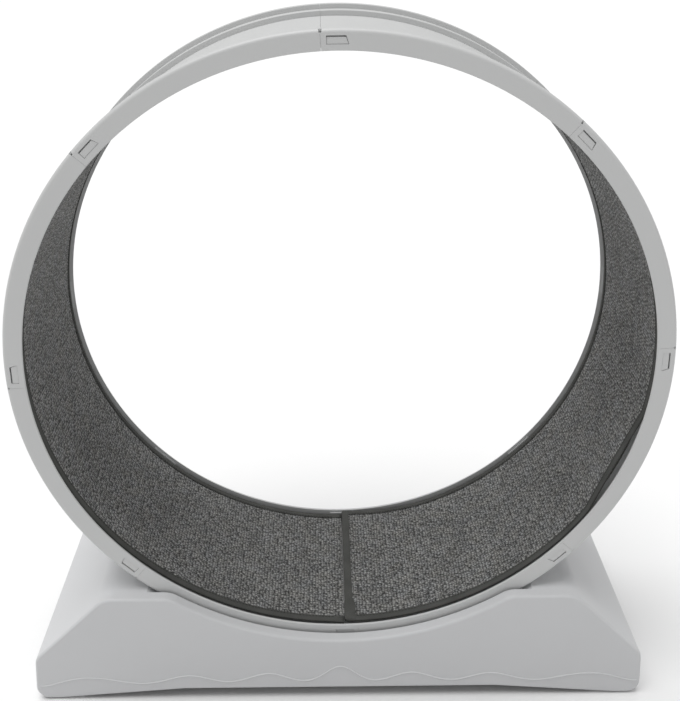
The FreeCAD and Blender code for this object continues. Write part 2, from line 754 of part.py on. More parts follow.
def make_roller(tag, place):
    """One roller: a rubber tyre on a hub, which turns on a bearing and a steel axle."""
    ring = less(
        f"TyreRing_{tag}",
        across_rod(f"TyreOuter_{tag}", at.roller_radius, at.roller_width),
        across_rod(f"TyreInner_{tag}", at.hub_radius, at.roller_width + SPARE),
    )
    doc.recompute()
    tyre = doc.addObject("Part::Fillet", f"Tyre_{tag}")
    tyre.Base = ring
    shoulders = []
    for index, edge in enumerate(ring.Shape.Edges, start=1):
        if isinstance(edge.Curve, Part.Circle) and abs(edge.Curve.Radius - at.roller_radius.value) < NEAR:
            shoulders.append((index, at.tyre_round.value, at.tyre_round.value))
    tyre.Edges = shoulders
    bores = [
        across_rod(f"HubBore_{tag}", at.hub_bore, at.roller_width + SPARE),
        across_rod(f"HubSeat_{tag}", at.bearing_radius, at.bearing_width),
    ]
    disc_solid = across_rod(f"HubSolid_{tag}", at.hub_radius, at.roller_width)
    hub = less(f"Hub_{tag}", disc_solid, fused(f"HubBores_{tag}", bores))
    bearing = less(
        f"Bearing_{tag}",
        across_rod(f"BearingOuter_{tag}", at.bearing_radius, at.bearing_width),
        across_rod(f"BearingInner_{tag}", at.axle_radius + at.axle_play, at.bearing_width + SPARE),
    )
    axle = across_rod(f"Axle_{tag}", at.axle_radius, at.well_wide)
    for item, name in ((tyre, "tyre"), (hub, "hub"), (bearing, "bearing")):
        item.Placement = place
        keep(item, f"roller_{name}_{tag}")
    axle.Placement = place.multiply(axle.Placement)
    keep(axle, f"roller_axle_{tag}")


def make_screws():
    """Two pan-head screws for each cradle, as one group of separate solids."""
    screws = []
    for tag, side, end in CORNERS:
        place = roller_place(side, end)
        for way, mark in ((-1, "low"), (1, "high")):
            key = f"{mark}_{tag}"
            head = doc.addObject("Part::Cone", f"Head_{key}")
            bind(head, "Radius1", at.head_radius)
            bind(head, "Radius2", at.head_top)
            bind(head, "Height", at.head_high)
            head.Placement = Placement(Vector(0, 0, at.cradle_top.value), Rotation())
            shank_low = at.cradle_top - at.screw_long
            shank = rod(f"Shank_{key}", at.screw_radius - at.screw_play, at.screw_long, shank_low)
            slot_low = at.cradle_top + at.head_high - at.slot_deep
            cross = fused(
                f"Cross_{key}",
                [
                    block(f"SlotA_{key}", at.slot_long, at.slot_wide, SPARE, slot_low),
                    block(f"SlotB_{key}", at.slot_wide, at.slot_long, SPARE, slot_low),
                ],
            )
            screw = less(f"Screw_{key}", fused(f"ScrewSolid_{key}", [head, shank]), cross)
            screw.Placement = place.multiply(Placement(Vector(way * at.screw_offset.value, 0, 0), Rotation()))
            screws.append(screw)
    group = doc.addObject("Part::Compound", "Screws")
    group.Links = screws
    keep(group, "cradle_screws")


def make_feet():
    """Four rubber feet under the base's corner plates."""
    for tag, side, end in CORNERS:
        x = at.foot_along * side
        y = at.foot_across * end
        keep(rod(f"Foot_{tag}", at.foot_radius, at.foot_high, x=x, y=y), f"rubber_foot_{tag}")


def write_pieces():
    """Checks every object and every piece, then writes one file for each piece."""
    doc.recompute()
    for item in doc.Objects:
        if "Invalid" in item.State or "Error" in item.State:
            raise RuntimeError(f"{item.Name} is {item.State}")
    os.makedirs("parts", exist_ok=True)
    for item in pieces:
        shape = item.Shape
        if shape.isNull() or not shape.isValid():
            raise RuntimeError(f"{item.Label} has no valid shape")
        box = shape.BoundBox
        print(
            f"{item.Label:30s} {len(shape.Solids):2d} solids {shape.Volume / 1000:8.1f} cm3",
            f"x {box.XMin:7.1f} {box.XMax:7.1f} y {box.YMin:7.1f} {box.YMax:7.1f}",
            f"z {box.ZMin:7.1f} {box.ZMax:7.1f}",
        )
        shape.exportStep(os.path.join("parts", f"{item.Label}.step"))


make_segments()
make_carpet()
make_base()
for corner_tag, corner_side, corner_end in CORNERS:
    corner_place = roller_place(corner_side, corner_end)
    make_cradle(corner_tag, corner_place)
    make_roller(corner_tag, corner_place)
make_screws()
make_feet()
write_pieces()
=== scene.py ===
"""Looks of a cat exercise wheel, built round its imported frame.

Metres, in the frame's own axes: +X is right, +Y goes away from the viewer and +Z is up. The moulded
pieces come from the frame and get their finishes here. The running carpet is cut flat, bound with tape,
stitched, and then rolled up inside the drum.
"""

import json
import logging
import math
import random
from dataclasses import dataclass, field
from enum import Enum

import bmesh
import bpy
from mathutils import Matrix, Vector, noise


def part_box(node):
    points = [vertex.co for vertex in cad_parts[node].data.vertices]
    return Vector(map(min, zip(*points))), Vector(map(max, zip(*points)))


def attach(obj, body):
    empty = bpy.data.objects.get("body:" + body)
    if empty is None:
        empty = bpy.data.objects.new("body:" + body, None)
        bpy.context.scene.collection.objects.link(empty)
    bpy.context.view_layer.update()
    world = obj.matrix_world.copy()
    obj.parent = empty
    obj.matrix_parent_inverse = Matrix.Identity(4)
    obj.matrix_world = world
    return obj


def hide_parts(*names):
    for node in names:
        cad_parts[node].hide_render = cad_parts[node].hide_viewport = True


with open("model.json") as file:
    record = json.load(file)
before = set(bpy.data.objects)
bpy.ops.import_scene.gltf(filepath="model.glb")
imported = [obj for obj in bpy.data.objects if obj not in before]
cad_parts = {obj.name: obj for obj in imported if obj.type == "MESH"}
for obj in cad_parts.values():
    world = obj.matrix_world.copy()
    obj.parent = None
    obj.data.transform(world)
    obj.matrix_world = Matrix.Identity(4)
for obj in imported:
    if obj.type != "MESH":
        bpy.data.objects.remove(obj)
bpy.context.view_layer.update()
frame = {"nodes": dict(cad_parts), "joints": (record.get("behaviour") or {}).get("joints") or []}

LOG = logging.getLogger("cat_exercise_wheel")
MM = 0.001
Colour = tuple[float, float, float]

NOISE_LOW = 0.3  # most of a noise lies between these two values
NOISE_HIGH = 0.7
NOISE_MIDDLE = 0.5


class Slot(Enum):
    """The record's material slots that new pieces take their finish from."""

    CARPET = "carpet"
    BINDING = "binding"


class Edge(Enum):
    """The carpet's two long edges, by the direction in which each lies from the middle."""

    FRONT = -1
    BACK = 1


CORNERS = ("front_left", "front_right", "rear_left", "rear_right")


# ----------------------------------------------------------------------------------------------------
# Shader graphs
# ----------------------------------------------------------------------------------------------------
class Graph:
    """A node tree, with the few calls that fill it."""

    def __init__(self, tree: bpy.types.NodeTree) -> None:
        """Starts an empty graph in a tree.

        Args:
            tree: the tree to fill; what it held is removed.
        """
        self.tree = tree
        tree.nodes.clear()

    def node(self, kind: str, **settings: object) -> bpy.types.Node:
        """Adds a node.

        Args:
            kind: the node's type name, without its ShaderNode prefix.
            settings: properties to set on it.

        Returns:
            The new node.
        """
        prefix = "" if kind.startswith("Node") else "ShaderNode"
        made = self.tree.nodes.new(prefix + kind)
        for name, value in settings.items():
            setattr(made, name, value)
        return made

    def feed(self, socket: bpy.types.NodeSocket, value: object) -> None:
        """Links an output to a socket, or sets the socket's own value.

        Args:
            socket: the input socket.
            value: an output to link, or a plain value.
        """
        if isinstance(value, bpy.types.NodeSocket):
            self.tree.links.new(value, socket)
        else:
            socket.default_value = value

    def math(self, operation: str, first: object, second: object = 0.0) -> bpy.types.NodeSocket:
        """Adds a Math node.

        Args:
            operation: the node's operation.
            first: the first operand, an output or a number.
            second: the second operand, an output or a number.

        Returns:
            The node's output.
        """
        made = self.node("Math", operation=operation)
        self.feed(made.inputs[0], first)
        self.feed(made.inputs[1], second)
        return made.outputs[0]

    def remap(
        self, value: object, low: float, high: float, start: float, end: float
    ) -> bpy.types.NodeSocket:
        """Adds a Map Range node.

        Args:
            value: the output to remap.
            low: the value that becomes start.
            high: the value that becomes end.
            start: the result at low.
            end: the result at high.

        Returns:
            The node's output.
        """
        made = self.node("MapRange")
        for index, item in enumerate((value, low, high, start, end)):
            self.feed(made.inputs[index], item)
        return made.outputs[0]

    def blend(
        self, share: object, first: object, second: object, mode: str = "MIX"
    ) -> bpy.types.NodeSocket:
        """Adds a colour Mix node.

        Args:
            share: how much of the second colour shows.
            first: the first colour.
            second: the second colour.
            mode: the node's blend type.

        Returns:
            The node's colour output.
        """
        made = self.node("Mix", data_type="RGBA", blend_type=mode)
        self.feed(made.inputs["Factor"], share)
        self.feed(made.inputs[6], first)
        self.feed(made.inputs[7], second)
        return made.outputs[2]

    def noise(self, vector: object, size: float, detail: float = 2.0) -> bpy.types.NodeSocket:
        """Adds a Noise Texture.

        Args:
            vector: where it is read.
            size: size of its blotches, in metres.
            detail: its number of octaves.

        Returns:
            The node's value output.
        """
        made = self.node("TexNoise")
        self.feed(made.inputs["Vector"], vector)
        made.inputs["Scale"].default_value = 1.0 / size
        made.inputs["Detail"].default_value = detail
        return made.outputs[0]

    def stretched(self, vector: object, scale: tuple[float, float, float]) -> bpy.types.NodeSocket:
        """Adds a Mapping node that only scales.

        Args:
            vector: the place to scale.
            scale: the factor along each axis.

        Returns:
            The node's vector output.
        """
        made = self.node("Mapping")
        self.feed(made.inputs["Vector"], vector)
        made.inputs["Scale"].default_value = scale
        return made.outputs[0]

    def group(self, tree: bpy.types.NodeTree, **inputs: object) -> bpy.types.Node:
        """Places a node group.

        Args:
            tree: the group's tree.
            inputs: values or outputs for its named inputs, with _ for each space.

        Returns:
            The group's node.
        """
        made = self.node("Group", node_tree=tree)
        for name, value in inputs.items():
            self.feed(made.inputs[name.replace("_", " ")], value)
        return made

    def swing(self, value: object, depth: object) -> bpy.types.NodeSocket:
        """Scales a noise's swing about its middle.

        Args:
            value: the noise.
            depth: the factor on the swing.

        Returns:
            The swing, about zero.
        """
        return self.math("MULTIPLY", self.math("SUBTRACT", value, NOISE_MIDDLE), depth)

    def bump(self, height: object, depth: float) -> bpy.types.NodeSocket:
        """Adds a Bump node.

        Args:
            height: the relief, from 0 to 1.
            depth: what a height of 1 stands for, in metres.

        Returns:
            The node's normal output.
        """
        made = self.node("Bump")
        made.inputs["Strength"].default_value = 1.0
        made.inputs["Distance"].default_value = depth
        self.feed(made.inputs["Height"], height)
        return made.outputs[0]


def rgba(colour: Colour) -> tuple[float, float, float, float]:
    """A colour with full alpha."""
    return (*colour, 1.0)


class Effects:
    """The shader node groups that several finishes share, each built when first asked for."""

    # A moulding: sizes of its grain, its slow waves, its broad tone and its flow lines.
    grain_size = 0.9 * MM
    wave_size = 70 * MM
    broad_size = 190 * MM
    flow_size = 24 * MM
    flow_stretch = (1.0, 0.25, 1.0)
    wave_share = 0.35
    broad_share = 0.65
    flow_share = 0.35
    sheen_swing = 0.03

    # A cloth: its fuzz, the threads' share of its relief, and its painted shade between and on the
    # threads.
    fuzz_size = 0.7 * MM
    crossing_share = 0.35
    weave_low = 0.2
    weave_high = 0.8
    weave_painted_shade = (0.72, 1.12)

    def __init__(self) -> None:
        """Starts with no group built."""
        self.built: dict[str, bpy.types.NodeTree] = {}

    def start(
        self, name: str, inputs: dict[str, str], outputs: dict[str, str]
    ) -> tuple[Graph, dict, dict]:
        """Makes an empty group with named sockets.

        Args:
            name: the group's name.
            inputs: socket type by input name.
            outputs: socket type by output name.

        Returns:
            The group's graph, its input sockets and its output sockets, both by name.
        """
        tree = bpy.data.node_groups.new(name, "ShaderNodeTree")
        self.built[name] = tree
        for way, sockets in (("INPUT", inputs), ("OUTPUT", outputs)):
            for label, kind in sockets.items():
                tree.interface.new_socket(label, in_out=way, socket_type="NodeSocket" + kind)
        graph = Graph(tree)
        source = graph.node("NodeGroupInput").outputs
        target = graph.node("NodeGroupOutput").inputs
        return graph, {n: source[n] for n in inputs}, {n: target[n] for n in outputs}

    def moulding(self) -> bpy.types.NodeTree:
        """Satin grain, slow waviness and faint tone of an injection moulding.

        Returns:
            A group with Height for bump, Tone to multiply the colour by, and Sheen for roughness.
        """
        name = "moulding"
        if name in self.built:
            return self.built[name]
        graph, given, put = self.start(
            name,
            {"Vector": "Vector", "Grain": "Float", "Tone Depth": "Float"},
            {"Height": "Float", "Tone": "Float", "Sheen": "Float"},
        )
        place = given["Vector"]
        grain = graph.noise(place, self.grain_size, 3.0)
        waves = graph.noise(place, self.wave_size, 1.0)
        broad = graph.noise(place, self.broad_size, 3.0)
        flow = graph.noise(graph.stretched(place, self.flow_stretch), self.flow_size, 4.0)
        fine = graph.math("MULTIPLY", grain, given["Grain"])
        slow = graph.math("MULTIPLY", waves, self.wave_share)
        graph.feed(put["Height"], graph.math("ADD", fine, slow))
        mixed = graph.math(
            "ADD",
            graph.math("MULTIPLY", broad, self.broad_share),
            graph.math("MULTIPLY", flow, self.flow_share),
        )
        graph.feed(put["Tone"], graph.math("ADD", graph.swing(mixed, given["Tone Depth"]), 1.0))
        sheen = graph.remap(flow, NOISE_LOW, NOISE_HIGH, -self.sheen_swing, self.sheen_swing)
        graph.feed(put["Sheen"], sheen)
        return self.built[name]

    def cloth(self) -> bpy.types.NodeTree:
        """A plain weave of threads that pass over and under each other.

        Returns:
            A group with Height for bump, and Shade, a painted shade that darkens the colour between the
            threads.
        """
        name = "cloth"
        if name in self.built:
            return self.built[name]
        graph, given, put = self.start(
            name, {"Vector": "Vector", "Thread": "Float"}, {"Height": "Float", "Shade": "Float"}
        )
        split = graph.node("SeparateXYZ")
        graph.feed(split.inputs[0], given["Vector"])
        waves = []
        for axis in (0, 1):
            turns = graph.math("DIVIDE", split.outputs[axis], given["Thread"])
            waves.append(graph.math("SINE", graph.math("MULTIPLY", turns, math.pi)))
        crossing = graph.math("MULTIPLY", waves[0], waves[1])
        fuzz = graph.noise(given["Vector"], self.fuzz_size, 2.0)
        height = graph.math("ADD", graph.math("MULTIPLY", crossing, self.crossing_share), fuzz)
        graph.feed(put["Height"], height)
        # Painted shade: darker where the threads dip, lighter where they cross over.
        shade = graph.remap(height, self.weave_low, self.weave_high, *self.weave_painted_shade)
        graph.feed(put["Shade"], shade)
        return self.built[name]


EFFECTS = Effects()


# ----------------------------------------------------------------------------------------------------
# Finishes
# ----------------------------------------------------------------------------------------------------
@dataclass(frozen=True)
class Finish:
    """What every finish has: a name, a colour, and how rough it is."""

    name: str
    colour: Colour
    roughness: float

    def begin(self) -> tuple[bpy.types.Material, Graph, bpy.types.Node, bpy.types.Node]:
        """Makes the material with its shader in place.

        Returns:
            The material, its graph, its Principled node and its Texture Coordinate node.
        """
        material = bpy.data.materials.new(self.name)
        material.use_nodes = True
        graph = Graph(material.node_tree)
        shader = graph.node("BsdfPrincipled")
        output = graph.node("OutputMaterial")
        graph.feed(output.inputs["Surface"], shader.outputs[0])
        shader.inputs["Roughness"].default_value = self.roughness
        return material, graph, shader, graph.node("TexCoord")


@dataclass(frozen=True)
class Moulded(Finish):
    """Moulded plastic or rubber: satin grain, slow waves in the surface, a breath of tone."""

    grain: float = 0.3
    depth: float = 0.10 * MM
    tone: float = 0.05
    specular: float = 0.5

    def build(self) -> bpy.types.Material:
        """Makes the finish.

        Returns:
            The material.
        """
        material, graph, shader, place = self.begin()
        effect = graph.group(
            EFFECTS.moulding(), Vector=place.outputs["Object"], Grain=self.grain, Tone_Depth=self.tone
        )
        tinted = graph.blend(1.0, rgba(self.colour), effect.outputs["Tone"], "MULTIPLY")
        rough = graph.math("ADD", effect.outputs["Sheen"], self.roughness)
        graph.feed(shader.inputs["Base Color"], tinted)
        graph.feed(shader.inputs["Roughness"], rough)
        graph.feed(shader.inputs["Normal"], graph.bump(effect.outputs["Height"], self.depth))
        shader.inputs["Specular IOR Level"].default_value = self.specular
        return material


@dataclass(frozen=True)
class GroundSteel(Finish):
    """Turned or ground steel: fine lines round or along the piece, with a little haze."""

    line: float = 0.25 * MM
    line_stretch: tuple[float, float, float] = (1.0, 0.08, 1.0)
    line_depth: float = 0.02 * MM
    smoother: float = 0.08
    rougher: float = 0.10
    haze_size: float = 4 * MM
    haze_shade: tuple[float, float] = (0.86, 1.06)

    def build(self) -> bpy.types.Material:
        """Makes the finish.

        Returns:
            The material.
        """
        material, graph, shader, place = self.begin()
        stretched = graph.stretched(place.outputs["Object"], self.line_stretch)
        lines = graph.noise(stretched, self.line, 3.0)
        haze = graph.noise(place.outputs["Object"], self.haze_size, 3.0)
        shade = graph.remap(haze, NOISE_LOW, NOISE_HIGH, *self.haze_shade)
        hazy = graph.blend(1.0, rgba(self.colour), shade, "MULTIPLY")
        low, high = self.roughness - self.smoother, self.roughness + self.rougher
        graph.feed(shader.inputs["Base Color"], hazy)
        graph.feed(shader.inputs["Roughness"], graph.remap(lines, NOISE_LOW, NOISE_HIGH, low, high))
        graph.feed(shader.inputs["Normal"], graph.bump(lines, self.line_depth))
        shader.inputs["Metallic"].default_value = 1.0
        return material


@dataclass(frozen=True)
class LoopPile(Finish):
    """Looped carpet: rows of light and dark loops across the mat, with painted shade between them.

    Its own colour is that of the pale yarn.
    """

    dark: Colour = (0.075, 0.075, 0.075)
    row: float = 5.0 * MM
    loop: float = 4.4 * MM
    unevenness: float = 0.55
    wander_size: float = 11 * MM
    wander_reach: float = 3.2 * MM
    crown_edges: tuple[float, float] = (0.12, 0.62)
    # Painted shade: the colour is darkened in the hollows between loops and lightened a little on their
    # crowns.
    crown_painted_shade: tuple[float, float] = (0.24, 1.12)
    fibre_size: float = 1.9 * MM
    fibre_contrast: float = 2.3
    fibre_relief: float = 0.3
    loop_contrast: float = 0.5
    patch_size: float = 90 * MM
    patch_edges: tuple[float, float] = (0.25, 0.75)
    patch_shade: tuple[float, float] = (0.88, 1.10)
    hue_size: float = 26 * MM
    hue_edges: tuple[float, float] = (0.35, 0.65)
    warm: Colour = (1.01, 1.0, 0.96)
    cool: Colour = (0.985, 1.0, 1.01)
    depth: float = 0.9 * MM
    specular: float = 0.12
    sheen: float = 0.12

    def build(self) -> bpy.types.Material:
        """Makes the finish.

        Returns:
            The material.
        """
        material, graph, shader, place = self.begin()
        flat = place.outputs["UV"]
        fibre = graph.noise(flat, self.fibre_size, 2.0)
        crown, loop_tone = self.loops(graph, flat)
        strands = graph.swing(fibre, self.fibre_contrast)
        loops = graph.swing(loop_tone, self.loop_contrast)
        tone = graph.math("ADD", graph.math("ADD", loops, strands), NOISE_MIDDLE)
        yarn = graph.blend(tone, rgba(self.dark), rgba(self.colour))
        # Painted shade: darker in the hollows between the loops, a little lighter on their crowns.
        shade = graph.remap(crown, 0.0, 1.0, *self.crown_painted_shade)
        lit = graph.blend(1.0, yarn, shade, "MULTIPLY")
        broad = graph.noise(flat, self.patch_size, 3.0)
        patch = graph.remap(broad, *self.patch_edges, *self.patch_shade)
        worn = graph.blend(1.0, lit, patch, "MULTIPLY")
        hue = graph.remap(graph.noise(flat, self.hue_size, 2.0), *self.hue_edges, 0.0, 1.0)
        tint = graph.blend(hue, rgba(self.warm), rgba(self.cool))
        graph.feed(shader.inputs["Base Color"], graph.blend(1.0, worn, tint, "MULTIPLY"))
        height = graph.math("ADD", graph.math("MULTIPLY", fibre, self.fibre_relief), crown)
        graph.feed(shader.inputs["Normal"], graph.bump(height, self.depth))
        shader.inputs["Specular IOR Level"].default_value = self.specular
        shader.inputs["Sheen Weight"].default_value = self.sheen
        return material

    def loops(
        self, graph: Graph, flat: bpy.types.NodeSocket
    ) -> tuple[bpy.types.NodeSocket, bpy.types.NodeSocket]:
        """The loops as cells in wandering rows.

        Args:
            graph: the material's graph.
            flat: the place on the flat mat.

        Returns:
            A mask that is 1 on each loop's crown, and each loop's own chance tone.
        """
        wander = graph.noise(flat, self.wander_size, 2.0)
        drift = graph.swing(wander, self.wander_reach)
        split = graph.node("SeparateXYZ")
        graph.feed(split.inputs[0], flat)
        join = graph.node("CombineXYZ")
        graph.feed(join.inputs[0], graph.math("ADD", split.outputs[0], drift))
        graph.feed(join.inputs[1], graph.math("SUBTRACT", split.outputs[1], drift))
        rows = graph.stretched(join.outputs[0], (1 / self.row, 1 / self.loop, 1.0))
        cells = graph.node("TexVoronoi", voronoi_dimensions="2D", feature="F1")
        graph.feed(cells.inputs["Vector"], rows)
        cells.inputs["Scale"].default_value = 1.0
        cells.inputs["Randomness"].default_value = self.unevenness
        chance = graph.node("SeparateColor")
        graph.feed(chance.inputs[0], cells.outputs["Color"])
        return graph.remap(cells.outputs["Distance"], *self.crown_edges, 1.0, 0.0), chance.outputs[0]


@dataclass(frozen=True)
class WovenTape(Finish):
    """Woven binding tape or thread, dull, with its weave in relief."""

    thread: float = 0.9 * MM
    depth: float = 0.22 * MM
    patch_size: float = 40 * MM
    patch_shade: tuple[float, float] = (0.88, 1.12)
    specular: float = 0.15

    def build(self) -> bpy.types.Material:
        """Makes the finish.

        Returns:
            The material.
        """
        material, graph, shader, place = self.begin()
        flat = place.outputs["UV"]
        weave = graph.group(EFFECTS.cloth(), Vector=flat, Thread=self.thread)
        broad = graph.noise(flat, self.patch_size, 2.0)
        patch = graph.remap(broad, NOISE_LOW, NOISE_HIGH, *self.patch_shade)
        # The weave's painted shade between the threads, times a random patch tone.
        shade = graph.math("MULTIPLY", weave.outputs["Shade"], patch)
        woven = graph.blend(1.0, rgba(self.colour), shade, "MULTIPLY")
        graph.feed(shader.inputs["Base Color"], woven)
        graph.feed(shader.inputs["Normal"], graph.bump(weave.outputs["Height"], self.depth))
        shader.inputs["Specular IOR Level"].default_value = self.specular
        return material


WHEEL_PLASTIC = Moulded("wheel_plastic_finish", (0.637, 0.642, 0.640), 0.46)
BASE_PLASTIC = Moulded("base_plastic_finish", (0.675, 0.68, 0.69), 0.48)
CRADLE_PLASTIC = Moulded("cradle_plastic_finish", (0.022, 0.022, 0.024), 0.5, grain=0.5)
HUB_PLASTIC = Moulded("hub_plastic_finish", (0.62, 0.61, 0.58), 0.42)
TYRE_RUBBER = Moulded("tyre_rubber_finish", (0.018, 0.018, 0.019), 0.72, grain=0.9, tone=0.2)
FOOT_RUBBER = Moulded("foot_rubber_finish", (0.024, 0.024, 0.024), 0.78, grain=0.9, tone=0.2)
STEEL = GroundSteel("steel_finish", (0.58, 0.58, 0.59), 0.3)
PILE = LoopPile("loop_pile_finish", (0.52, 0.52, 0.515), 0.92)
TAPE = WovenTape("binding_tape_finish", (0.105, 0.106, 0.100), 0.86)
THREAD = WovenTape("thread_finish", (0.050, 0.051, 0.048), 0.7, thread=0.35 * MM, depth=0.08 * MM)


def dress(node: str, material: bpy.types.Material) -> None:
    """Gives one of the frame's nodes its finish.

    Args:
        node: the node's name.
        material: the finish.
    """
    piece = frame["nodes"][node]
    if not piece.material_slots:
        piece.data.materials.append(material)
    for held in piece.material_slots:
        held.material = material
    LOG.info("%s wears %s", node, material.name)


# ----------------------------------------------------------------------------------------------------
# The running carpet
# ----------------------------------------------------------------------------------------------------
@dataclass
class Drum:
    """The drum that the carpet is rolled into, measured on the frame."""

    axis_height: float = field(init=False)
    carpet_radius: float = field(init=False)
    carpet_half_width: float = field(init=False)
    carpet_middle: float = field(init=False)

    def __post_init__(self) -> None:
        """Reads the axis and the carpet's room from the frame's own solids."""
        joint = next(item for item in frame["joints"] if item["name"] == "wheel_spin")
        self.axis_height = joint["pos_m"][2]
        low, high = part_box("carpet_mat")
        self.carpet_radius = (high.x - low.x) / 2
        self.carpet_half_width = (high.y - low.y) / 2
        self.carpet_middle = (high.y + low.y) / 2


@dataclass
class RunningCarpet:
    """A looped mat with bound edges. Flat, U runs along it from its right end and V across it.

    A height of zero is the pile's mean face, and heights grow away from the floor.
    """

    drum: Drum
    seed: int = 11

    # The mat: its joint, and the grid and relief of its pile.
    thick: float = 3.0 * MM
    join_turn: float = math.radians(1.12)
    join_gap: float = math.radians(0.22)
    rows: int = 872
    loops: int = 86
    relief: float = 0.42 * MM
    hollow_share: float = -0.7
    uneven_share: float = 0.55
    trench: float = 1.3 * MM
    trench_wide: float = 3.6 * MM

    # The tapes: the right end's is wider than the long edges', and widest near the front.
    tape_wide: float = 10.0 * MM
    end_tape_wide: float = 11.8 * MM
    corner_tape_wide: float = 16.0 * MM
    corner_tape_long: float = 50.0 * MM
    tape_thick: float = 0.55 * MM
    tape_over_tape: float = 0.55
    tape_steps_across: int = 44
    edge_tape_steps: int = 420
    end_tape_steps: int = 88
    hem_high: float = 0.35 * MM
    leaf_high: float = 0.15 * MM
    drawn_deep: float = 0.45 * MM
    drawn_wide: float = 1.3 * MM

    # The stitches, from the tape's hem inwards.
    stitch_inset: float = 2.4 * MM
    stitch_pitch: float = 5.4 * MM
    stitch_long: float = 3.9 * MM
    stitch_thick: float = 0.75 * MM
    stitch_proud: float = 0.12 * MM
    stitch_sides: int = 6
    stitch_rings: int = 4

    # Where the mat stands off the drum: a slack stretch, a curled corner, the right end, a slow sway.
    slack_turn: float = math.radians(67.5)
    slack_half: float = math.radians(11.5)
    slack_lift: float = 11.0 * MM
    slack_power: float = 1.5
    curl_lift: float = 6.0 * MM
    curl_along: float = 95.0 * MM
    curl_across: float = 110.0 * MM
    end_lift: float = 1.2 * MM
    end_lift_along: float = 30.0 * MM
    sway_lift: float = 0.35 * MM
    sway_along: float = 1 / 6
    sway_across: float = 1 / 5

    # Where the left end's front corner is drawn down.
    sag: float = 3.2 * MM
    sag_reach: float = 16.0 * MM

    def __post_init__(self) -> None:
        """Works out the mat's inner radius, its flat length and the angle where it starts."""
        self.radius = self.drum.carpet_radius - self.thick
        self.start = self.join_turn + self.join_gap / 2
        self.length = (2 * math.pi - self.join_gap) * self.radius
        self.half_wide = self.drum.carpet_half_width

    def lift(self, along: float, across: float) -> float:
        """How far the mat stands off the drum.

        Args:
            along: distance from the mat's right end.
            across: distance from the mat's middle line, positive to the back.

        Returns:
            The height, towards the axis.
        """
        turn = self.start + along / self.radius
        from_slack = (turn - self.slack_turn) / self.slack_half
        front_share = min(max(0.5 - across / (2 * self.half_wide), 0.0), 1.0)
        hump = max(0.0, 1.0 - from_slack * from_slack)
        slack = self.slack_lift * hump * front_share**self.slack_power
        from_corner = along / self.curl_along
        from_edge = (self.half_wide - across) / self.curl_across
        curl = self.curl_lift * math.exp(-(from_corner**2)) * math.exp(-(from_edge**2))
        proud = self.end_lift * math.exp(-((along / self.end_lift_along) ** 2))
        left_corner = math.hypot(self.length - along, self.half_wide + across) / self.sag_reach
        sag = self.sag * math.exp(-(left_corner**2))
        spot = Vector((along / self.sway_along, across / self.sway_across, 0.0))
        sway = noise.noise(spot) * self.sway_lift
        return slack + curl + proud - sag + sway

    def roll_up(self, mesh: bmesh.types.BMesh) -> None:
        """Bends a flat mesh into the drum.

        Args:
            mesh: a mesh whose X runs along the mat, Y across it and Z away from the drum.
        """
        for vertex in mesh.verts:
            along, across, height = vertex.co
            turn = self.start + along / self.radius
            reach = self.radius - height - self.lift(along, across)
            vertex.co = (
                reach * math.sin(turn),
                across + self.drum.carpet_middle,
                self.drum.axis_height - reach * math.cos(turn),
            )

    def finish(
        self,
        name: str,
        mesh: bmesh.types.BMesh,
        material: bpy.types.Material,
    ) -> bpy.types.Object:
        """Maps the flat mesh, rolls it up, and makes it a piece that rides on the wheel.

        Args:
            name: the piece's name.
            mesh: the flat mesh, which is freed.
            material: its finish.

        Returns:
            The new piece.
        """
        layer = mesh.loops.layers.uv.new("flat")
        for face in mesh.faces:
            face.smooth = True
            for corner in face.loops:
                corner[layer].uv = (corner.vert.co.x, corner.vert.co.y)
        self.roll_up(mesh)
        bmesh.ops.recalc_face_normals(mesh, faces=mesh.faces)
        data = bpy.data.meshes.new(name)
        mesh.to_mesh(data)
        mesh.free()
        piece = bpy.data.objects.new(name, data)
        bpy.context.scene.collection.objects.link(piece)
        data.materials.append(material)
        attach(piece, "wheel")
        LOG.info("%s: %d faces", name, len(data.polygons))
        return piece

    def build_mat(self, material: bpy.types.Material) -> bpy.types.Object:
        """The looped mat: a fine face in relief over a plain back.

        Args:
            material: its finish.

        Returns:
            The piece that stands for the frame's carpet_mat.
        """
        mesh = bmesh.new()
        bmesh.ops.create_grid(mesh, x_segments=self.rows, y_segments=self.loops, size=0.5)
        inset = self.tape_thick
        long, wide = self.length - 2 * inset, 2 * (self.half_wide - inset)
        bmesh.ops.scale(mesh, verts=mesh.verts, vec=(long, wide, 1.0))
        bmesh.ops.translate(mesh, verts=mesh.verts, vec=(self.length / 2, 0.0, 0.0))
        self.raise_loops(mesh, long / self.rows, wide / self.loops)
        self.close_back(mesh, 2 * long / self.rows)
        piece = self.finish("running_carpet", mesh, material)
        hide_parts("carpet_mat")
        return piece

    def raise_loops(self, mesh: bmesh.types.BMesh, row_step: float, loop_step: float) -> None:
        """Gives the flat face its loops, and a trench where they stop beside the tapes.

        Args:
            mesh: the flat grid.
            row_step: the grid's step along the mat.
            loop_step: the grid's step across it.
        """
        chance = random.Random(self.seed)
        inset = self.tape_thick
        for vertex in mesh.verts:
            row = round((vertex.co.x - inset) / row_step)
            loop = round((vertex.co.y + self.half_wide - inset) / loop_step)
            beside_edge = self.half_wide - abs(vertex.co.y) - self.tape_wide
            beside_end = vertex.co.x - self.end_tape_wide
            from_tape = min(beside_edge, beside_end)
            open_face = min(max(from_tape / self.stitch_inset + 1.0, 0.0), 1.0)
            crown = 1.0 if (row + loop) % 2 == 0 else self.hollow_share
            uneven = chance.uniform(-self.uneven_share, self.uneven_share)
            vertex.co.z = self.relief * open_face * (crown + uneven)
            if 0.0 < from_tape < self.trench_wide:
                vertex.co.z = -self.trench

